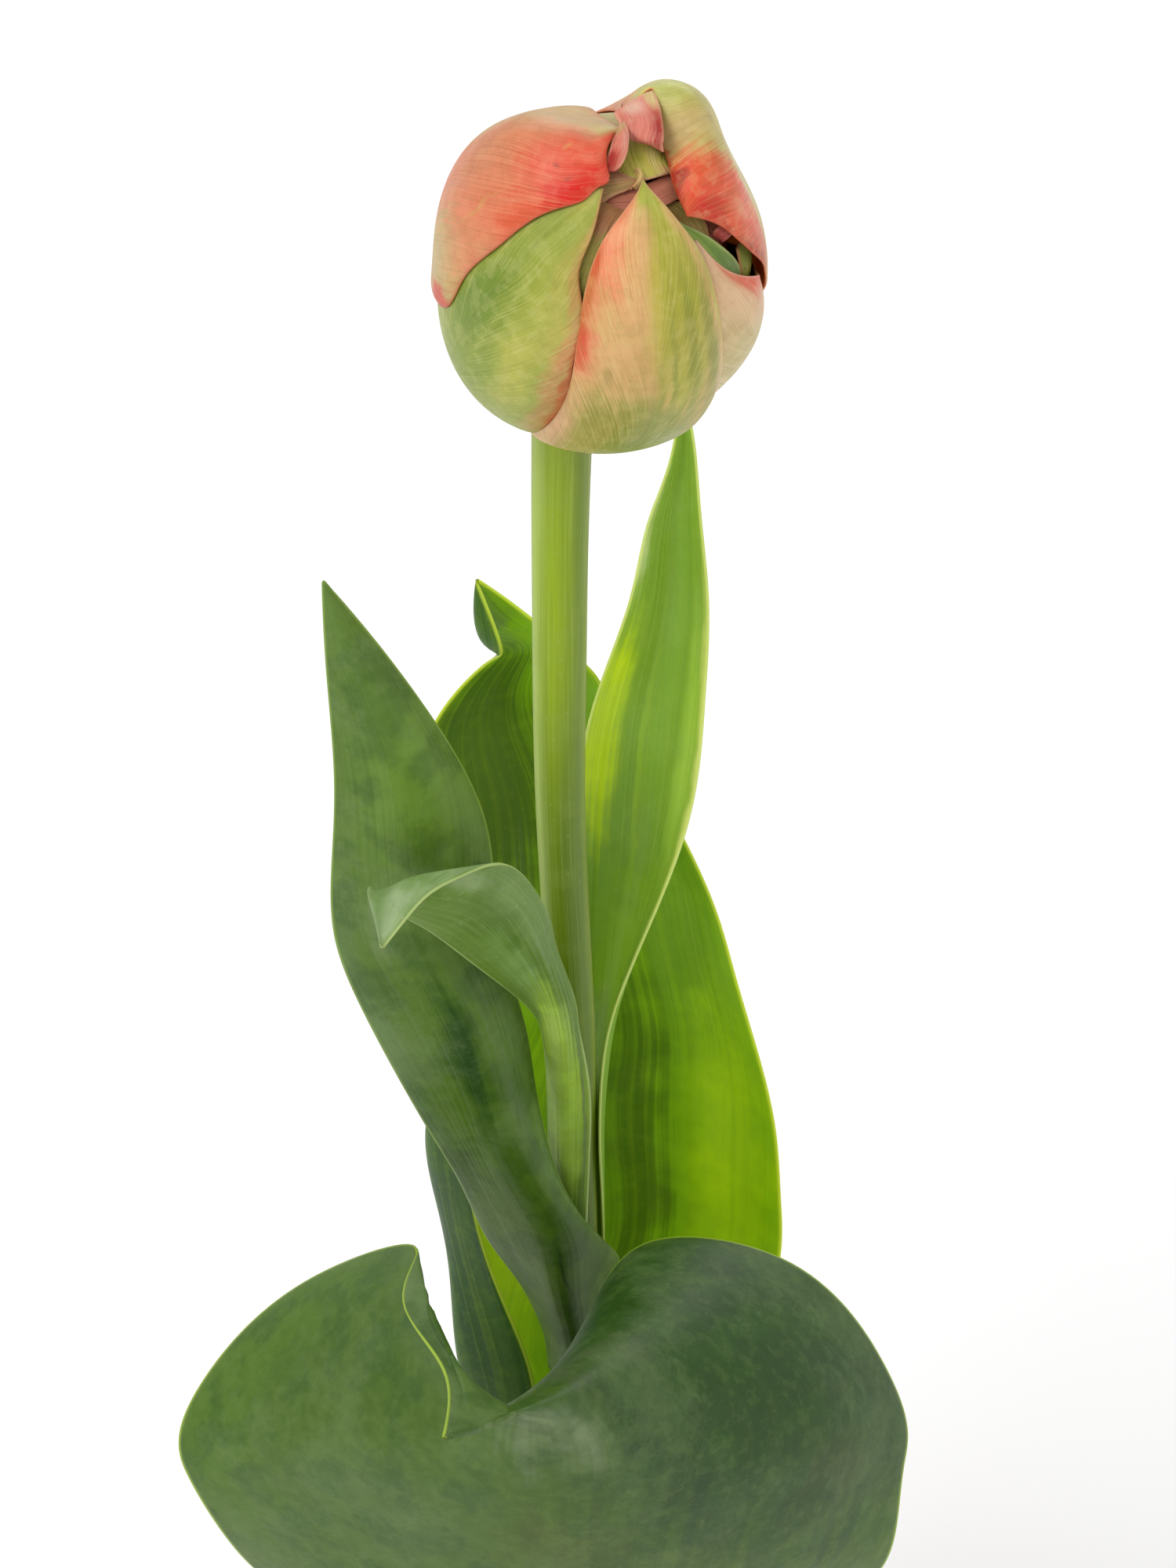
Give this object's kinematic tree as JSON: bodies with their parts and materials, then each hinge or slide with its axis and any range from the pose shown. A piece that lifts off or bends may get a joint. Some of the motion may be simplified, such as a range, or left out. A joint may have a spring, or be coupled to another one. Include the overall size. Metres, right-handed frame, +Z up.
{
  "type": "potted tulip",
  "caption": "Bulb plant in a clay pot: a closed double flower leans forward on a slim stem above broad pointed leaves.",
  "frame": {"origin": "centre of the pot's foot, on the surface that it stands on", "axes": "+Z up along the pot's axis; the flower leans towards the front, which is -Y; +X to the right in the front view"},
  "size_m": [0.1222, 0.1473, 0.4282],
  "materials": {
    "pot": "unglazed fired clay, matte",
    "soil": "loose dark potting soil",
    "bulb": "dry brown papery skin",
    "stem": "smooth satin green",
    "leaf_dark": "waxy bloom over deep green, satin",
    "leaf_pale": "waxy bloom over mid green, satin",
    "leaf_bright": "bright green, satin",
    "petal_coral": "soft satin, coral with green and cream streaks",
    "petal_green": "soft satin, yellow-green with a pink margin",
    "petal_core": "soft satin, green and brick pink"
  },
  "bodies": {
    "root": {"pot": "pot", "soil": "soil", "bulb": "bulb", "stem": "stem", "leaf_front": "leaf_dark", "leaf_left": "leaf_dark", "leaf_curled": "leaf_pale", "leaf_right": "leaf_bright", "leaf_back": "leaf_bright", "petal_outer_left": "petal_coral", "petal_outer_front": "petal_coral", "petal_outer_right": "petal_coral", "petal_inner_left": "petal_green", "petal_inner_right": "petal_green", "petal_inner_back": "petal_green", "petal_core_back": "petal_core", "petal_core_left": "petal_core", "petal_core_front": "petal_core", "petal_core_middle": "petal_core", "petal_core_right": "petal_core", "petal_core_far": "petal_core", "petal_core_top": "petal_core"}
  },
  "joints": []
}
